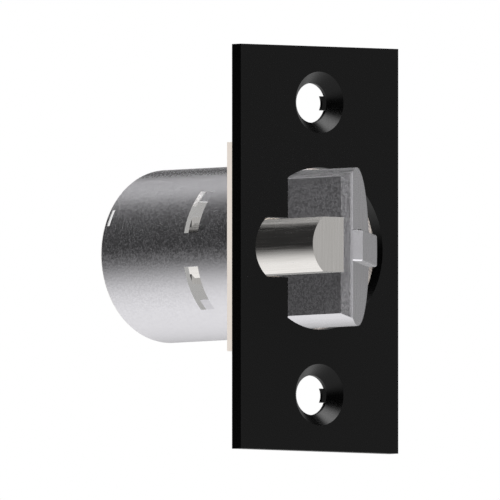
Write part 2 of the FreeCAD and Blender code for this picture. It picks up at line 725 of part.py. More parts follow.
def make_dog_bracket():
    piece = body("dog_bracket")
    inner = dog_half + slide_gap
    outer = inner + bracket_sheet
    base = sketch_on(piece, "bracket_base", "YZ_Plane", -cap_front)
    side = pivot_off
    width = rivet_off + rivet_head_r
    block(base, -(side + bracket_r), -(side - bracket_r), -width, width)
    pad(piece, base, bracket_sheet)
    ears = sketch_on(piece, "bracket_ears", "XY_Plane")
    low = -(side + bracket_r)
    high = -(side - bracket_r)
    rear = -(cap_front - bracket_sheet / 2)
    block(ears, rear, -pivot_place, low, high)
    pad(piece, ears, outer * 2, midplane=True)
    rounds = sketch_on(piece, "bracket_rounds", "XY_Plane")
    circle(rounds, -pivot_place, -side, bracket_r)
    pad(piece, rounds, outer * 2, midplane=True)
    gap = sketch_on(piece, "bracket_gap", "XY_Plane")
    block(gap, -(cap_front - bracket_sheet), -(pivot_place - bracket_r - cut_beyond),
          low - cut_beyond, high + cut_beyond)
    pocket(piece, gap, inner * 2, midplane=True)
    hole = sketch_on(piece, "bracket_hole", "XY_Plane")
    circle(hole, -pivot_place, -side, dog_pin_r)
    pocket(piece, hole, (outer + cut_beyond) * 2, midplane=True)
    rivets = sketch_on(piece, "bracket_rivet_holes", "YZ_Plane", zero)
    for level in (rivet_off, -rivet_off):
        circle(rivets, -side, level, rivet_r)
    pocket(piece, rivets, cap_front + cut_beyond)


def cylinder(name, radius, length, along, across, up, direction):
    """A round bar. Its foot is at (along, across, up) and it runs in direction X or Z."""
    made = doc.addObject("Part::Cylinder", name)
    made.setExpression("Radius", radius.text)
    made.setExpression("Height", length.text)
    turn = FreeCAD.Rotation(FreeCAD.Vector(0, 1, 0), 90 if direction == "X" else 0)
    base = FreeCAD.Vector(along.value, across.value, up.value)
    made.Placement = FreeCAD.Placement(base, turn)
    made.setExpression("Placement.Base.x", along.text)
    made.setExpression("Placement.Base.y", across.text)
    made.setExpression("Placement.Base.z", up.text)
    return made


def joined(name, pieces, kind="Part::MultiFuse"):
    """Several solids as one sub-part."""
    made = doc.addObject(kind, name)
    if kind == "Part::Compound":
        made.Links = pieces
    else:
        made.Shapes = pieces
    made.Label = name
    doc.recompute()
    subparts.append(made)
    return made


def make_rods():
    """Both guide rods are riveted over behind the rear cap."""
    rods = (
        ("latch_spring_rod", latch_rod_r, latch_seat + bolt_throw + rod_clear, latch_off),
        ("plunger_spring_rod", plunger_rod_r, plunger_seat + plunger_throw + rod_clear, -plunger_off),
    )
    for name, radius, front, across in rods:
        shank = cylinder(name + "_shank", radius, cap_rear - front, -cap_rear, across, zero, "X")
        head = cylinder(name + "_head", radius + rod_rim, rod_head, -(cap_rear + rod_head), across,
                        zero, "X")
        joined(name, [shank, head])


def make_bracket_rivets():
    length = cap_thick + bracket_sheet
    pieces = []
    for side, level in (("upper", rivet_off), ("lower", -rivet_off)):
        shank = cylinder(side + "_shank", rivet_r, length, -cap_rear, -pivot_off, level, "X")
        tail = cylinder(side + "_tail", rivet_head_r, rivet_head, -(cap_rear + rivet_head),
                        -pivot_off, level, "X")
        head = cylinder(side + "_head", rivet_head_r, rivet_head, -(cap_front - bracket_sheet),
                        -pivot_off, level, "X")
        rivet = doc.addObject("Part::MultiFuse", side + "_rivet")
        rivet.Shapes = [shank, tail, head]
        pieces.append(rivet)
    joined("bracket_rivets", pieces, "Part::Compound")


def make_pins():
    half = dog_half + slide_gap + bracket_sheet
    pin = cylinder("dog_pin", dog_pin_r, half * 2, -pivot_place, -pivot_off, -half, "Z")
    pin.Label = "dog_pin"
    subparts.append(pin)
    pieces = []
    length = tooth_rear - head_front + keeper_depth
    for side, level in (("upper", keeper_off), ("lower", -keeper_off)):
        pieces.append(cylinder(side + "_keeper", keeper_r, length, -tooth_rear, keeper_across, level, "X"))
    joined("tail_keeper_pins", pieces, "Part::Compound")


def make_coil(name, coil_r, wire_r, turns, rear, front, across):
    """A coil spring between two seats, its wire a whole radius clear of each."""
    helix = doc.addObject("Part::Helix", name + "_path")
    run = front - rear - wire_r * 2
    helix.setExpression("Height", run.text)
    helix.setExpression("Pitch", (run / turns).text)
    helix.setExpression("Radius", coil_r.text)
    start = rear + wire_r
    helix.Placement = FreeCAD.Placement(
        FreeCAD.Vector(start.value, across.value, 0),
        FreeCAD.Rotation(FreeCAD.Vector(0, 1, 0), 90),
    )
    helix.setExpression("Placement.Base.x", start.text)
    helix.setExpression("Placement.Base.y", across.text)
    ring = doc.addObject("Part::Circle", name + "_wire")
    ring.setExpression("Radius", wire_r.text)
    ring.Placement = FreeCAD.Placement(
        FreeCAD.Vector(start.value, across.value, -coil_r.value),
        FreeCAD.Rotation(FreeCAD.Vector(1, 0, 0), 90),
    )
    ring.setExpression("Placement.Base.x", start.text)
    ring.setExpression("Placement.Base.y", across.text)
    ring.setExpression("Placement.Base.z", (-coil_r).text)
    doc.recompute()
    sweep = doc.addObject("Part::Sweep", name)
    sweep.Sections = [ring]
    sweep.Spine = (helix, ["Edge" + str(index + 1) for index in range(len(helix.Shape.Edges))])
    sweep.Solid = True
    sweep.Frenet = True
    sweep.Label = name
    doc.recompute()
    subparts.append(sweep)


def make_dog_spring():
    """A torsion spring on the dog's pin: one leg under the arm, one on the bracket's base."""
    turns = dog_turns.value
    wire = dog_wire_r.value
    pivot = FreeCAD.Vector(-pivot_place.value, -pivot_off.value, 0)
    low = dog_half.value - dog_spring_room.value + wire * 2
    pitch = (dog_spring_room.value - wire * 4) / turns
    path = Part.makeHelix(pitch, pitch * turns, dog_coil_r.value)
    path.translate(FreeCAD.Vector(pivot.x, pivot.y, low))
    section = Part.Wire(Part.Circle(
        FreeCAD.Vector(pivot.x + dog_coil_r.value, pivot.y, low), FreeCAD.Vector(0, 1, 0), wire
    ).toShape())
    coil = Part.Wire(path.Edges).makePipeShell([section], True, True)
    reach = pivot_off.value - dog_level.value - wire
    start = FreeCAD.Vector(pivot.x + dog_coil_r.value, pivot.y, low)
    arm = Part.makeCylinder(wire, reach, start, FreeCAD.Vector(0, 1, 0))
    end = FreeCAD.Vector(pivot.x - dog_coil_r.value, pivot.y, low + pitch * turns)
    heel = Part.makeCylinder(wire, reach, end, FreeCAD.Vector(0, 1, 0))
    made = doc.addObject("Part::Feature", "dog_spring")
    made.Shape = coil.fuse(arm).fuse(heel)
    made.Label = "dog_spring"
    subparts.append(made)


make_faceplate()
make_flange_plate()
make_housing_tube()
make_rear_cap()
make_latchbolt()
make_plunger()
make_tailpiece()
make_dog()
make_dog_bracket()
make_rods()
make_bracket_rivets()
make_pins()
make_coil("latch_spring", latch_coil_r, latch_wire_r, latch_turns, -cap_front, -latch_seat, latch_off)
make_coil("plunger_spring", plunger_coil_r, plunger_wire_r, plunger_turns, -cap_front,
          -plunger_seat, -plunger_off)
make_dog_spring()
doc.recompute()

for item in doc.Objects:
    if "Invalid" in item.State or "Error" in item.State:
        raise ValueError(item.Label + " is in state " + str(item.State))
for piece in subparts:
    if piece.Shape.isNull() or not piece.Shape.isValid():
        raise ValueError(piece.Label + " has no valid shape")
    count = len(piece.Shape.Solids)
    print(piece.Label, count, "solids", round(piece.Shape.Volume, 2), "mm3")
    piece.Shape.exportStep("parts/" + piece.Label + ".step")
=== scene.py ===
import math

import bmesh
import bpy
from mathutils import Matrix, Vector


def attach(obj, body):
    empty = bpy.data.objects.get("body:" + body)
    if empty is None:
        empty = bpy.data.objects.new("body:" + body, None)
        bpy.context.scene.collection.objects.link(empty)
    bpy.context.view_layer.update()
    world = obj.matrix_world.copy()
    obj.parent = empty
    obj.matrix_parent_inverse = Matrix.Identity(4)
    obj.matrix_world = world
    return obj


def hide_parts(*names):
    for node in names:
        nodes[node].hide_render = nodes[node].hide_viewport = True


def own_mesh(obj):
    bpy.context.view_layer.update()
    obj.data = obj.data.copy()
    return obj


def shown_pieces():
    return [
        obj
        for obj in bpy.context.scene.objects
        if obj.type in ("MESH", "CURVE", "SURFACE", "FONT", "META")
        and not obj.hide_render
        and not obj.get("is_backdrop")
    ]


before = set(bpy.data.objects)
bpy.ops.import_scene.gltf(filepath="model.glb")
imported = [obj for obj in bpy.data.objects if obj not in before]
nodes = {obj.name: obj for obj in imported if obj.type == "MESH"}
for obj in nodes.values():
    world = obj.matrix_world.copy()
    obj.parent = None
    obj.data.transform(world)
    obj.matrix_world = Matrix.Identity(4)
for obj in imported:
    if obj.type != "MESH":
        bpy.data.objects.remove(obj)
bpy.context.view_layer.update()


# Faceplate
# A sheared 2 mm steel plate that shows in the door's edge. Its two countersinks are pressed,
# so each has a collar behind, and the whole plate is coated matt black after pressing.
def fill(made, socket, value):
    """Puts a number, a colour, a direction or another node's output into a socket."""
    if isinstance(value, bpy.types.NodeSocket):
        made.node_tree.links.new(value, socket)
    elif socket.type == "RGBA":
        socket.default_value = (*value, 1)
    else:
        socket.default_value = value


def feed(made, socket, value):
    """Fills one socket of the finish's surface shader."""
    fill(made, made.node_tree.nodes["Principled BSDF"].inputs[socket], value)


def finish(name, colour, metal, rough, shine=0.5):
    """A finish with one surface shader in a plain colour, which further nodes then vary."""
    made = bpy.data.materials.new(name)
    made.use_nodes = True
    feed(made, "Base Color", colour)
    feed(made, "Metallic", metal)
    feed(made, "Roughness", rough)
    feed(made, "Specular IOR Level", shine)
    return made


def coordinate(made, kind):
    """A place of the surface (Object) or its direction (Normal), fixed to the piece."""
    return made.node_tree.nodes.new("ShaderNodeTexCoord").outputs[kind]


def speckle(made, grain, stretch=(1, 1, 1), detail=2.0):
    """Noise that is fixed to the piece. A speck is one grain wide and is drawn out by stretch."""
    scale = made.node_tree.nodes.new("ShaderNodeMapping")
    noise = made.node_tree.nodes.new("ShaderNodeTexNoise")
    fill(made, scale.inputs["Vector"], coordinate(made, "Object"))
    fill(made, scale.inputs["Scale"], [1 / (grain * longer) for longer in stretch])
    fill(made, noise.inputs["Vector"], scale.outputs["Vector"])
    fill(made, noise.inputs["Scale"], 1)
    fill(made, noise.inputs["Detail"], detail)
    return noise.outputs["Fac"]


def ranged(made, factor, limits, values):
    """A number that goes from one value to the other while the factor goes between the limits."""
    spread = made.node_tree.nodes.new("ShaderNodeMapRange")
    spread.interpolation_type = "SMOOTHSTEP"
    fill(made, spread.inputs["Value"], factor)
    for socket, number in zip(("From Min", "From Max", "To Min", "To Max"), (*limits, *values)):
        fill(made, spread.inputs[socket], number)
    return spread.outputs["Result"]


def blended(made, factor, first, second):
    """A colour between two colours, of which each is fixed or another node's output."""
    mix = made.node_tree.nodes.new("ShaderNodeMix")
    mix.data_type = "RGBA"
    share, first_colour, second_colour = mix.inputs[0], mix.inputs[6], mix.inputs[7]
    fill(made, share, factor)
    fill(made, first_colour, first)
    fill(made, second_colour, second)
    return mix.outputs[2]


def relief(made, height, depth):
    """The surface's direction once a noise has raised it, by depth metres at most."""
    bump = made.node_tree.nodes.new("ShaderNodeBump")
    fill(made, bump.inputs["Distance"], depth)
    fill(made, bump.inputs["Height"], height)
    return bump.outputs["Normal"]


def coat(node, made):
    """Gives a node of the frame its finish."""
    for place in nodes[node].material_slots:
        place.material = made


NOISE_MIDDLE = (0.3, 0.7)
NOISE_NARROW = (0.35, 0.65)
COAT_GRAIN = 0.00022
COAT_RELIEF = 0.000004
COAT_DARK = (0.0006, 0.0006, 0.0007)
COAT_LIGHT = (0.0014, 0.0014, 0.0015)
COAT_ROUGHNESS = (0.24, 0.33)
COAT_SHINE = 0.23

black_coat = finish("black_coat", colour=(0.001, 0.001, 0.001), metal=0, rough=0.28, shine=COAT_SHINE)
coat_grain = speckle(black_coat, COAT_GRAIN)
coat_shade = ranged(black_coat, coat_grain, NOISE_NARROW, (0, 1))
feed(black_coat, "Base Color", blended(black_coat, coat_shade, COAT_DARK, COAT_LIGHT))
feed(black_coat, "Roughness", ranged(black_coat, coat_grain, NOISE_MIDDLE, COAT_ROUGHNESS))
feed(black_coat, "Normal", relief(black_coat, coat_grain, COAT_RELIEF))
coat("faceplate", black_coat)


# Screw retaining nibs
# A small nib stands in from the wall of each screw hole, flush with the back of its collar.
# It is pressed out with the hole and coated with the plate, and it keeps the screw from falling out.
def placed(name, shape, made):
    """Makes a mesh object of the scene from a shape, in one finish."""
    mesh = bpy.data.meshes.new(name)
    shape.to_mesh(mesh)
    shape.free()
    mesh.materials.append(made)
    piece = bpy.data.objects.new(name, mesh)
    bpy.context.scene.collection.objects.link(piece)
    return piece


HOLE_LEVELS = (0.0206375, -0.0206375)
NIB_INNER = 0.00203
NIB_OUTER = 0.0029
NIB_HALF = 0.00100
NIB_FRONT = -0.00195
NIB_REAR = -0.0024
NIB_STEPS = 8
NIB_ROUNDING = 0.00006

for number, level in enumerate(HOLE_LEVELS, 1):
    shape = bmesh.new()
    edges = []
    for depth in (NIB_REAR, NIB_FRONT):
        for radius in (NIB_INNER, NIB_OUTER):
            reach = math.asin(NIB_HALF / radius)
            edge = []
            for step in range(NIB_STEPS + 1):
                turn = reach * (2 * step / NIB_STEPS - 1)
                corner = (depth, radius * math.cos(turn), level + radius * math.sin(turn))
                edge.append(shape.verts.new(corner))
            edges.append(edge)
    rear_in, rear_out, front_in, front_out = edges
    sides = ((rear_in, rear_out), (front_out, front_in), (rear_out, front_out), (front_in, rear_in))
    for step in range(NIB_STEPS):
        for first, second in sides:
            shape.faces.new((first[step], first[step + 1], second[step + 1], second[step]))
    shape.faces.new((rear_in[0], rear_out[0], front_out[0], front_in[0]))
    shape.faces.new((rear_in[-1], front_in[-1], front_out[-1], rear_out[-1]))
    bmesh.ops.recalc_face_normals(shape, faces=shape.faces)
    nib = placed("screw_nib_" + str(number), shape, black_coat)
    rounding = nib.modifiers.new("rounding", "BEVEL")
    rounding.width = NIB_ROUNDING
    rounding.segments = 2
    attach(nib, "housing")


# Flange plate
# A flat steel plate behind the faceplate that carries the tube. It has a pale cream plating
# and shows as a thin light line along the faceplate's edge.
PLATING_CLOUD = 0.0016
CLOUD_STRETCH = (1, 1, 2)
PLATING_GRAIN = 0.00018
PLATING_RELIEF = 0.0000015
PLATING_DARK = (0.875, 0.785, 0.71)
PLATING_LIGHT = (0.915, 0.835, 0.76)
PLATING_ROUGHNESS = (0.38, 0.5)

pale_plating = finish("pale_plating", colour=(0.84, 0.76, 0.69), metal=0, rough=0.42)
plating_cloud = speckle(pale_plating, PLATING_CLOUD, CLOUD_STRETCH)
plating_grain = speckle(pale_plating, PLATING_GRAIN)
feed(pale_plating, "Base Color", blended(pale_plating, plating_cloud, PLATING_DARK, PLATING_LIGHT))
feed(pale_plating, "Roughness", ranged(pale_plating, plating_grain, NOISE_MIDDLE, PLATING_ROUGHNESS))
feed(pale_plating, "Normal", relief(pale_plating, plating_grain, PLATING_RELIEF))
coat("flange_plate", pale_plating)


# Housing tube
# A drawn steel tube with a flange in front, two windows and slots for the rear cap's lugs. Its skin
# is grained, smoother on top. Its rear rim is a pale, non-metal cream, and a crescent on the upper
# window's cut face is a painted glint, near white and not metal.
def vector_maths(made, operation, *vectors):
    """The results of an operation on vectors, of which each is fixed or a node's output."""
    maths = made.node_tree.nodes.new("ShaderNodeVectorMath")
    maths.operation = operation
    for socket, vector in zip(maths.inputs, vectors):
        fill(made, socket, vector)
    return maths.outputs


def facing(made, direction, limits):
    """1 where the surface looks along a direction, 0 where it looks elsewhere."""
    likeness = vector_maths(made, "DOT_PRODUCT", coordinate(made, "Normal"), direction)["Value"]
    return ranged(made, likeness, limits, (0, 1))


def beyond(made, direction, limits):
    """1 farther along a direction than the limits, 0 before them. The limits are in metres."""
    distance = vector_maths(made, "DOT_PRODUCT", coordinate(made, "Object"), direction)["Value"]
    return ranged(made, distance, limits, (0, 1))


def outside(made, limits):
    """1 farther from the tube's axis than the limits, 0 within them. The limits are in metres."""
    across = vector_maths(made, "MULTIPLY", coordinate(made, "Object"), (0, 1, 1))["Vector"]
    return ranged(made, vector_maths(made, "LENGTH", across)["Value"], limits, (0, 1))


def combined(made, operation, first, second):
    """One number made from two, of which each is fixed or another node's output."""
    maths = made.node_tree.nodes.new("ShaderNodeMath")
    maths.operation = operation
    for socket, value in zip(maths.inputs, (first, second)):
        fill(made, socket, value)
    return maths.outputs["Value"]


FORWARD = (1, 0, 0)
REARWARD = (-1, 0, 0)
UPWARD = (0, 0, 1)
NOISE_WIDE = (0.25, 0.75)
PIERCED_LIMITS = (0.6, 0.8)
TOP_LIMITS = (0.81, 0.96)
RIM_LIMITS = (0.03378, 0.03388)
WINDOW_GLINT_LEVELS = (0.0061, 0.0064)
WINDOW_GLINT_RADII = (0.01154, 0.01164)
TUBE_GRAIN = 0.00030
TUBE_RELIEF = 0.000005
SKIN_DARK = (0.83, 0.82, 0.85)
SKIN_LIGHT = (0.855, 0.845, 0.875)
SKIN_ROUGHNESS = (0.35, 0.49)
PIERCED_COLOUR = (0.87, 0.86, 0.845)
PIERCED_SMOOTHER = 0.75
TOP_SMOOTHER = 0.57
RIM_COLOUR = (0.84, 0.81, 0.78)
WINDOW_GLINT_COLOUR = (0.97, 0.96, 0.95)

tube_steel = finish("tube_steel", colour=(0.84, 0.83, 0.86), metal=1, rough=0.4)
tube_grain = ranged(tube_steel, speckle(tube_steel, TUBE_GRAIN, detail=1.5), NOISE_WIDE, (0, 1))
pierced = facing(tube_steel, FORWARD, PIERCED_LIMITS)
tube_top = facing(tube_steel, UPWARD, TOP_LIMITS)
# The rear rim is coloured a pale, non-metal cream.
rear_rim = beyond(tube_steel, REARWARD, RIM_LIMITS)
# Painted glint: a crescent of the upper window's cut face is coloured near white and made not metal, so
# it shows bright like a highlight.
glint_level = beyond(tube_steel, UPWARD, WINDOW_GLINT_LEVELS)
glint_place = combined(tube_steel, "MULTIPLY", glint_level, outside(tube_steel, WINDOW_GLINT_RADII))
painted_window_glint = combined(tube_steel, "MULTIPLY", pierced, glint_place)

skin_colour = blended(tube_steel, tube_grain, SKIN_DARK, SKIN_LIGHT)
bare_colour = blended(tube_steel, pierced, skin_colour, PIERCED_COLOUR)
rimmed_colour = blended(tube_steel, rear_rim, bare_colour, RIM_COLOUR)
feed(tube_steel, "Base Color", blended(tube_steel, painted_window_glint, rimmed_colour, WINDOW_GLINT_COLOUR))
# The rear rim and the painted glint are made not metal.
rim_and_painted_glint = combined(tube_steel, "MAXIMUM", rear_rim, painted_window_glint)
feed(tube_steel, "Metallic", ranged(tube_steel, rim_and_painted_glint, (0, 1), (1, 0)))
skin_roughness = ranged(tube_steel, tube_grain, (0, 1), SKIN_ROUGHNESS)
pierced_share = ranged(tube_steel, pierced, (0, 1), (1, PIERCED_SMOOTHER))
top_share = ranged(tube_steel, tube_top, (0, 1), (1, TOP_SMOOTHER))
side_roughness = combined(tube_steel, "MULTIPLY", skin_roughness, pierced_share)
feed(tube_steel, "Roughness", combined(tube_steel, "MULTIPLY", top_share, side_roughness))
skin_only = ranged(tube_steel, pierced, (0, 1), (1, 0))
skin_grain = combined(tube_steel, "MULTIPLY", tube_grain, skin_only)
feed(tube_steel, "Normal", relief(tube_steel, skin_grain, TUBE_RELIEF))
coat("housing_tube", tube_steel)


# Rear cap
# A stamped steel disc with its sides cut off that closes the tube. Its two lugs stand in the
# tube's slots, and their cut ends carry a painted glint, near white and not metal.
ROLLING_GRAIN = 0.00016
ROLLING_STRETCH = (12, 1, 8)
ROLLING_RELIEF = 0.000003
SHEET_DARK = (0.58, 0.57, 0.56)
SHEET_LIGHT = (0.74, 0.73, 0.72)
SHEET_ROUGHNESS = (0.27, 0.4)
LUG_GLINT_COLOUR = (0.98, 0.98, 0.98)
LUG_GLINT_RADII = (0.01125, 0.01132)

sheet_steel = finish("sheet_steel", colour=(0.66, 0.65, 0.64), metal=1, rough=0.32)
rolling = speckle(sheet_steel, ROLLING_GRAIN, ROLLING_STRETCH)
rolling_shade = ranged(sheet_steel, rolling, NOISE_MIDDLE, (0, 1))
rolled_colour = blended(sheet_steel, rolling_shade, SHEET_DARK, SHEET_LIGHT)
# Painted glint: the lugs' cut ends are coloured near white and made not metal, so they show bright like
# a highlight.
painted_lug_glint = outside(sheet_steel, LUG_GLINT_RADII)
feed(sheet_steel, "Base Color", blended(sheet_steel, painted_lug_glint, rolled_colour, LUG_GLINT_COLOUR))
feed(sheet_steel, "Metallic", ranged(sheet_steel, painted_lug_glint, (0, 1), (1, 0)))
feed(sheet_steel, "Roughness", ranged(sheet_steel, rolling, NOISE_MIDDLE, SHEET_ROUGHNESS))
feed(sheet_steel, "Normal", relief(sheet_steel, rolling, ROLLING_RELIEF))
coat("rear_cap", sheet_steel)


# Spring rods
# Two rods turned from drawn steel wire, one inside each compression spring, which keep the springs
# straight. Each is riveted in the rear cap.
def worked(made, marks, dark, light, roughness, depth):
    """Varies a metal's colour and roughness with the marks that its working leaves, and raises them."""
    shade = ranged(made, marks, NOISE_MIDDLE, (0, 1))
    feed(made, "Base Color", blended(made, shade, dark, light))
    feed(made, "Roughness", ranged(made, marks, NOISE_MIDDLE, roughness))
    feed(made, "Normal", relief(made, marks, depth))


TURNING_GRAIN = 0.00010
TURNING_STRETCH = (1, 14, 14)
TURNING_RELIEF = 0.000002
ROD_DARK = (0.47, 0.46, 0.45)
ROD_LIGHT = (0.63, 0.62, 0.61)
ROD_ROUGHNESS = (0.22, 0.36)

rod_steel = finish("rod_steel", colour=(0.55, 0.54, 0.53), metal=1, rough=0.28)
turning = speckle(rod_steel, TURNING_GRAIN, TURNING_STRETCH)
worked(rod_steel, turning, ROD_DARK, ROD_LIGHT, ROD_ROUGHNESS, TURNING_RELIEF)
coat("latch_spring_rod", rod_steel)
coat("plunger_spring_rod", rod_steel)


# Dog's bracket and its rivets
# A bracket folded from thin steel sheet, whose two ears carry the dog's pin. Two turned steel
# rivets hold it to the rear cap.
coat("dog_bracket", sheet_steel)
coat("bracket_rivets", rod_steel)


# Dog and its pin
# The deadlocking dog is a hardened steel lever with a darker, slightly blue skin, blasted matt.
# It turns on a plain steel pin that the bracket's two ears carry.
HEAT_CLOUD = 0.0014
BLAST_GRAIN = 0.00018
BLAST_RELIEF = 0.000006
HARD_BLUE = (0.24, 0.25, 0.30)
HARD_GREY = (0.38, 0.37, 0.37)
HARD_ROUGHNESS = (0.32, 0.46)

hardened_steel = finish("hardened_steel", colour=(0.30, 0.31, 0.34), metal=1, rough=0.38)
heat_shade = ranged(hardened_steel, speckle(hardened_steel, HEAT_CLOUD), NOISE_NARROW, (0, 1))
blasting = speckle(hardened_steel, BLAST_GRAIN)
feed(hardened_steel, "Base Color", blended(hardened_steel, heat_shade, HARD_BLUE, HARD_GREY))
feed(hardened_steel, "Roughness", ranged(hardened_steel, blasting, NOISE_MIDDLE, HARD_ROUGHNESS))
feed(hardened_steel, "Normal", relief(hardened_steel, blasting, BLAST_RELIEF))
coat("dog", hardened_steel)
coat("dog_pin", rod_steel)


# Dog's spring
# A torsion spring wound from thin drawn wire. It sits on the dog's pin and turns the dog towards
# the bolt's teeth.
DRAWING_GRAIN = 0.00007
DRAWING_STRETCH = (1, 5, 5)
DRAWING_RELIEF = 0.000002
WIRE_DARK = (0.42, 0.40, 0.38)
WIRE_LIGHT = (0.60, 0.58, 0.56)
WIRE_ROUGHNESS = (0.2, 0.34)

spring_wire = finish("spring_wire", colour=(0.52, 0.50, 0.48), metal=1, rough=0.26)
drawing = speckle(spring_wire, DRAWING_GRAIN, DRAWING_STRETCH)
worked(spring_wire, drawing, WIRE_DARK, WIRE_LIGHT, WIRE_ROUGHNESS, DRAWING_RELIEF)
coat("dog_spring", spring_wire)


# Latchbolt
# A cast steel bolt. Its flat side, the band beside the tip and the rib's front keep the mould's grain.
# The round back, the bevel and the tip are ground, which leaves a narrow land that looks forward.
def chosen(made, mask, inside, elsewhere):
    """One number where the mask is 1, and the other where it is 0."""
    masked = combined(made, "MULTIPLY", inside, mask)
    unmasked = combined(made, "MULTIPLY", elsewhere, combined(made, "SUBTRACT", 1, mask))
    return combined(made, "ADD", masked, unmasked)


def turned(made, mask, normal, direction):
    """The surface's direction where the mask is 0, and a fixed direction where it is 1."""
    mix = made.node_tree.nodes.new("ShaderNodeMix")
    mix.data_type = "VECTOR"
    share, first_direction, second_direction = mix.inputs[0], mix.inputs[4], mix.inputs[5]
    fill(made, share, mask)
    fill(made, first_direction, normal)
    fill(made, second_direction, direction)
    return mix.outputs[1]


FLAT_SIDE = (0.15, -1, 0)
BAND_SIDE = (0.82, -0.57, 0)
BEVEL_SIDE = (0.707, 0.707, 0)
OUTBOARD = (0, 1, 0)
FLAT_LIMITS = (0.45, 0.6)
RIB_LIMITS = (0.88, 0.94)
BAND_LIMITS = (0.85, 0.95)
BEVEL_LIMITS = (0.9, 0.97)
LAND_LIMITS = (-0.00452, -0.00446)
MOULD_GRAIN = 0.00030
LONG_GRAIN = 0.00035
LONG_STRETCH = (16, 1.5, 1.5)
UPRIGHT_GRAIN = 0.00018
UPRIGHT_STRETCH = (1, 1, 60)
BOLT_RELIEF = 0.000002
BOLT_DARK = (0.745, 0.735, 0.765)
BOLT_LIGHT = (0.805, 0.795, 0.825)
CAST_ROUGHNESS = (0.42, 0.58)
GROUND_ROUGHNESS = (0.25, 0.31)
BAND_SMOOTHER = 0.86

cast_bolt = finish("cast_bolt", colour=(0.78, 0.77, 0.80), metal=1, rough=0.33)
flat_side = facing(cast_bolt, FLAT_SIDE, FLAT_LIMITS)
rib_front = facing(cast_bolt, FORWARD, RIB_LIMITS)
cast_side = combined(cast_bolt, "MAXIMUM", flat_side, rib_front)
beside_tip = facing(cast_bolt, BAND_SIDE, BAND_LIMITS)
tip_land = combined(cast_bolt, "MULTIPLY", beside_tip, beyond(cast_bolt, OUTBOARD, LAND_LIMITS))
tip_band = combined(cast_bolt, "SUBTRACT", beside_tip, tip_land)
bevel = facing(cast_bolt, BEVEL_SIDE, BEVEL_LIMITS)

mould_grain = ranged(cast_bolt, speckle(cast_bolt, MOULD_GRAIN, detail=1.5), NOISE_WIDE, (0, 1))
long_lines = ranged(cast_bolt, speckle(cast_bolt, LONG_GRAIN, LONG_STRETCH), NOISE_MIDDLE, (0, 1))
upright_noise = speckle(cast_bolt, UPRIGHT_GRAIN, UPRIGHT_STRETCH)
upright_lines = ranged(cast_bolt, upright_noise, NOISE_MIDDLE, (0, 1))
ground_lines = chosen(cast_bolt, bevel, upright_lines, long_lines)
bolt_marks = chosen(cast_bolt, cast_side, mould_grain, ground_lines)
feed(cast_bolt, "Base Color", blended(cast_bolt, bolt_marks, BOLT_DARK, BOLT_LIGHT))
band_share = ranged(cast_bolt, tip_band, (0, 1), (1, BAND_SMOOTHER))
grain_roughness = ranged(cast_bolt, mould_grain, (0, 1), CAST_ROUGHNESS)
cast_roughness = combined(cast_bolt, "MULTIPLY", grain_roughness, band_share)
ground_roughness = ranged(cast_bolt, ground_lines, (0, 1), GROUND_ROUGHNESS)
feed(cast_bolt, "Roughness", chosen(cast_bolt, cast_side, cast_roughness, ground_roughness))
grained = relief(cast_bolt, bolt_marks, BOLT_RELIEF)
feed(cast_bolt, "Normal", turned(cast_bolt, tip_land, grained, FORWARD))
coat("latchbolt", cast_bolt)


# Tail and its keeper pins
# The tail is a strip cut from 2 mm steel. Its cross head sits in the bolt, kept in by two turned
# pins, and its rear head hooks into the lockset's retractor.
coat("tailpiece", sheet_steel)
coat("tail_keeper_pins", rod_steel)


# Plunger
# A bar of drawn, polished stainless steel with one flat side. The polish runs along the bar, and
# its end is faced off, which leaves fine upright lines.
BAR_END_LIMITS = (0.6, 0.8)
POLISH_GRAIN = 0.00022
POLISH_STRETCH = (40, 1, 1)
FACING_GRAIN = 0.00016
PLUNGER_RELIEF = 0.000002
PLUNGER_DARK = (0.79, 0.765, 0.735)
PLUNGER_LIGHT = (0.89, 0.865, 0.835)
PLUNGER_ROUGHNESS = (0.18, 0.28)

polished_steel = finish("polished_steel", colour=(0.85, 0.82, 0.79), metal=1, rough=0.2)
bar_end = facing(polished_steel, FORWARD, BAR_END_LIMITS)
polish_lines = speckle(polished_steel, POLISH_GRAIN, POLISH_STRETCH, detail=3)
faced_lines = speckle(polished_steel, FACING_GRAIN, UPRIGHT_STRETCH, detail=3)
plunger_lines = chosen(polished_steel, bar_end, faced_lines, polish_lines)
worked(polished_steel, plunger_lines, PLUNGER_DARK, PLUNGER_LIGHT, PLUNGER_ROUGHNESS, PLUNGER_RELIEF)
coat("plunger", polished_steel)


# Latch spring and plunger spring
# Two compression springs, cold wound from drawn wire with closed ends. Each stands on the rear
# cap round its rod and pushes in its bore. A real one shortens when the bolt or plunger goes in; this
# coil keeps one length.
CAP_FRONT = -0.0323
WIRE_SIDES = 12
STEPS_PER_TURN = 36
CLOSED_TURNS = 0.9
OPENING_TURNS = 0.5
CLOSED_PITCH_IN_WIRE_RADII = 2.04
LATCH_SPRING = {
    "across": 0.0060, "coil_radius": 0.0026, "wire_radius": 0.00030, "front": -0.0030, "turns": 12.5,
}
PLUNGER_SPRING = {
    "across": -0.0085, "coil_radius": 0.00145, "wire_radius": 0.00022, "front": -0.0040, "turns": 14.5,
}
LATCH_THROW = 0.0127
PLUNGER_THROW = 0.0119


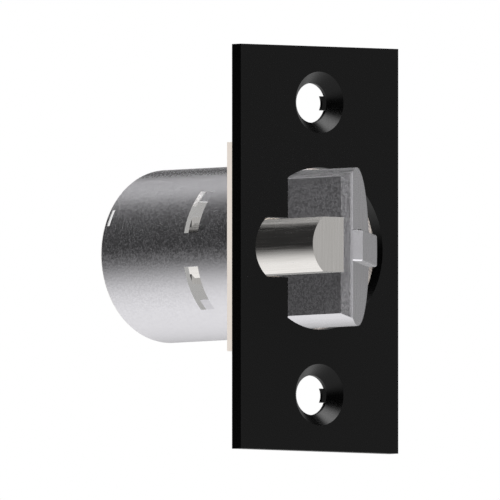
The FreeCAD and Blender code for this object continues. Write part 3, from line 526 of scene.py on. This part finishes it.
def compression_spring(name, across, coil_radius, wire_radius, front, turns):
    """A coil of round wire with closed ends, from the rear cap to its bore's bottom."""
    steps = int(turns * STEPS_PER_TURN)
    open_share = []
    for step in range(steps + 1):
        turns_from_end = min(step, steps - step) / STEPS_PER_TURN
        share = min(1.0, max(0.0, (turns_from_end - CLOSED_TURNS) / OPENING_TURNS))
        open_share.append(share * share * (3 - 2 * share))
    closed_pitch = wire_radius * CLOSED_PITCH_IN_WIRE_RADII
    run = front - CAP_FRONT - 2 * wire_radius
    open_turns = sum(open_share[:-1]) / STEPS_PER_TURN
    open_pitch = closed_pitch + (run - closed_pitch * turns) / open_turns
    shape = bmesh.new()
    rings = []
    reached = CAP_FRONT + wire_radius
    for step in range(steps + 1):
        turn = 2 * math.pi * step / STEPS_PER_TURN
        pitch = closed_pitch + (open_pitch - closed_pitch) * open_share[step]
        out = Vector((0, math.sin(turn), math.cos(turn)))
        climb = pitch / (2 * math.pi * coil_radius)
        forward = Vector((climb, math.cos(turn), -math.sin(turn))).normalized()
        side = forward.cross(out)
        middle = Vector((reached, across, 0)) + out * coil_radius
        ring = []
        for corner in range(WIRE_SIDES):
            angle = 2 * math.pi * corner / WIRE_SIDES
            skin = (out * math.cos(angle) + side * math.sin(angle)) * wire_radius
            ring.append(shape.verts.new(middle + skin))
        rings.append(ring)
        reached += pitch / STEPS_PER_TURN
    for ring, following in zip(rings, rings[1:]):
        for corner in range(WIRE_SIDES):
            beside = (corner + 1) % WIRE_SIDES
            shape.faces.new((ring[corner], ring[beside], following[beside], following[corner]))
    shape.faces.new(rings[0])
    shape.faces.new(rings[-1])
    bmesh.ops.recalc_face_normals(shape, faces=shape.faces)
    for face in shape.faces:
        face.smooth = len(face.verts) == 4
    return placed(name, shape, spring_wire)


for name, node, spring, joint, throw in (
    ("latch_spring_coil", "latch_spring", LATCH_SPRING, "latchbolt_slide", LATCH_THROW),
    ("plunger_spring_coil", "plunger_spring", PLUNGER_SPRING, "plunger_slide", PLUNGER_THROW),
):
    coil = compression_spring(name, **spring)
    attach(coil, "housing")
    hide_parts(node)
    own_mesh(coil)


# White room and floor
# The part floats over a plain white floor in a white room. The floor keeps the part's shadow and
# is clear from below. The white behind the part is the room's own colour.
WHITE = (1, 1, 1)
ROOM_LIGHT = 0.93
ROOM_WHITE = 1.0
FLOOR_LEVEL = -0.085
FLOOR_RADIUS = 4.0
FLOOR_SIDES = 96
FLOOR_WHITE = (0.82, 0.82, 0.82)

scene = bpy.context.scene
world = bpy.data.worlds.new("white_room")
scene.world = world
world.use_nodes = True
sky = world.node_tree.nodes["Background"]
paths = world.node_tree.nodes.new("ShaderNodeLightPath")
seen = combined(world, "MAXIMUM", paths.outputs["Is Camera Ray"], paths.outputs["Is Glossy Ray"])
seen = combined(world, "MAXIMUM", seen, paths.outputs["Is Transmission Ray"])
fill(world, sky.inputs["Color"], WHITE)
fill(world, sky.inputs["Strength"], ranged(world, seen, (0, 1), (ROOM_LIGHT, ROOM_WHITE)))

floor_white = finish("floor_white", colour=FLOOR_WHITE, metal=0, rough=0.9, shine=0)
floor_nodes = floor_white.node_tree.nodes
geometry = floor_nodes.new("ShaderNodeNewGeometry")
clear = floor_nodes.new("ShaderNodeBsdfTransparent")
either = floor_nodes.new("ShaderNodeMixShader")
from_below, white_socket, clear_socket = either.inputs
fill(floor_white, from_below, geometry.outputs["Backfacing"])
fill(floor_white, white_socket, floor_nodes["Principled BSDF"].outputs["BSDF"])
fill(floor_white, clear_socket, clear.outputs["BSDF"])
fill(floor_white, floor_nodes["Material Output"].inputs["Surface"], either.outputs["Shader"])

shape = bmesh.new()
bmesh.ops.create_circle(shape, cap_ends=True, segments=FLOOR_SIDES, radius=FLOOR_RADIUS)
floor = placed("floor", shape, floor_white)
floor.location = (0, 0, FLOOR_LEVEL)
floor.visible_glossy = False
floor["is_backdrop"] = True


# Grey tent
# A dark tent stands round the part, as in a photo studio, and only the metal mirrors it. It is white
# below, with a softbox on the left, a lamp overhead, a paler right side and two faint patches behind.
def shining(direction, start, full, strength):
    """Light that grows from none to its strength as a place of the tent nears a direction."""
    aim = Vector(direction).normalized()
    nearness = vector_maths(tent_grey, "DOT_PRODUCT", way, aim)["Value"]
    return ranged(tent_grey, nearness, (start, full), (0, strength))


TENT_RADIUS = 0.9
TENT_SIDES = 64
TENT_RINGS = 32
TENT_GREY = 0.025
BELOW = {"direction": (-0.012, -0.025, -1), "start": 0.050, "full": 0.625, "strength": 0.97}
SOFTBOX = {"direction": (-0.691, -0.16, 1), "start": 0.965, "full": 0.985, "strength": 0.92}
OVERHEAD = {"direction": (0.38, -0.08, 1), "start": 0.785, "full": 1.028, "strength": 7.8}
RIGHT = {"direction": (0.776, 1.409, -0.39), "start": 0.296, "full": 1.140, "strength": 0.58}
BEHIND = {"direction": (-0.72, 0.69, 0.03), "start": 0.910, "full": 0.965, "strength": 0.225}
BEHIND_ABOVE = {"direction": (-0.80, 0.20, 0.62), "start": 0.930, "full": 0.990, "strength": 0.225}

tent_grey = bpy.data.materials.new("tent_grey")
tent_grey.use_nodes = True
tent_nodes = tent_grey.node_tree.nodes
tent_nodes.clear()
position = tent_nodes.new("ShaderNodeNewGeometry").outputs["Position"]
way = vector_maths(tent_grey, "NORMALIZE", position)["Vector"]
brightness = TENT_GREY
for light in (BELOW, SOFTBOX, OVERHEAD, RIGHT, BEHIND, BEHIND_ABOVE):
    brightness = combined(tent_grey, "ADD", shining(**light), brightness)
glow = tent_nodes.new("ShaderNodeEmission")
tent_output = tent_nodes.new("ShaderNodeOutputMaterial")
fill(tent_grey, glow.inputs["Strength"], brightness)
fill(tent_grey, tent_output.inputs["Surface"], glow.outputs["Emission"])

shape = bmesh.new()
bmesh.ops.create_uvsphere(shape, u_segments=TENT_SIDES, v_segments=TENT_RINGS, radius=TENT_RADIUS)
tent = placed("grey_tent", shape, tent_grey)
tent.visible_camera = False
tent.visible_diffuse = False
tent.visible_shadow = False
tent.visible_transmission = False
tent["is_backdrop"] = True
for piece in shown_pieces():
    piece.visible_glossy = False


# Lamp
# One round soft lamp behind and above the part. It gives the floor the part's shadow and lights the
# black and cream plates, and the metal doesn't mirror it.
LAMP_SIZE = 0.40
LAMP_POWER = 0.7
LAMP_WAY = Vector((-0.15, 0.63, 0.76))
LAMP_DISTANCE = 0.55

lamp_data = bpy.data.lights.new("soft_lamp", "AREA")
lamp_data.shape = "DISK"
lamp_data.size = LAMP_SIZE
lamp_data.energy = LAMP_POWER
lamp = bpy.data.objects.new("soft_lamp", lamp_data)
lamp.location = LAMP_WAY * LAMP_DISTANCE
lamp.rotation_mode = "QUATERNION"
lamp.rotation_quaternion = lamp.location.to_track_quat("Z", "Y")
lamp.visible_glossy = False
scene.collection.objects.link(lamp)


# Camera
# A camera with parallel rays, level with the part and looking up a little, at the photo's angle.
# The part stands a little left of the frame's middle.
AZIMUTH = math.radians(51.0)
ELEVATION = math.radians(-2.44)
FRAME_WIDTH = 0.07054
FRAME_RIGHT = -0.009817
FRAME_UP = -0.000195
CAMERA_BACK = 0.8
CLIP_END = 20

level = math.cos(ELEVATION)
back = Vector((math.sin(AZIMUTH) * level, -math.cos(AZIMUTH) * level, math.sin(ELEVATION)))
right = Vector((math.cos(AZIMUTH), math.sin(AZIMUTH), 0))
up = back.cross(right)
camera_data = bpy.data.cameras.new("camera")
camera_data.type = "ORTHO"
camera_data.ortho_scale = FRAME_WIDTH
camera_data.clip_end = CLIP_END
camera = bpy.data.objects.new("camera", camera_data)
camera.location = right * FRAME_RIGHT + up * FRAME_UP + back * CAMERA_BACK
camera.rotation_mode = "QUATERNION"
camera.rotation_quaternion = (-back).to_track_quat("-Z", "Y")
scene.collection.objects.link(camera)
scene.camera = camera
scene.view_settings.view_transform = "Standard"
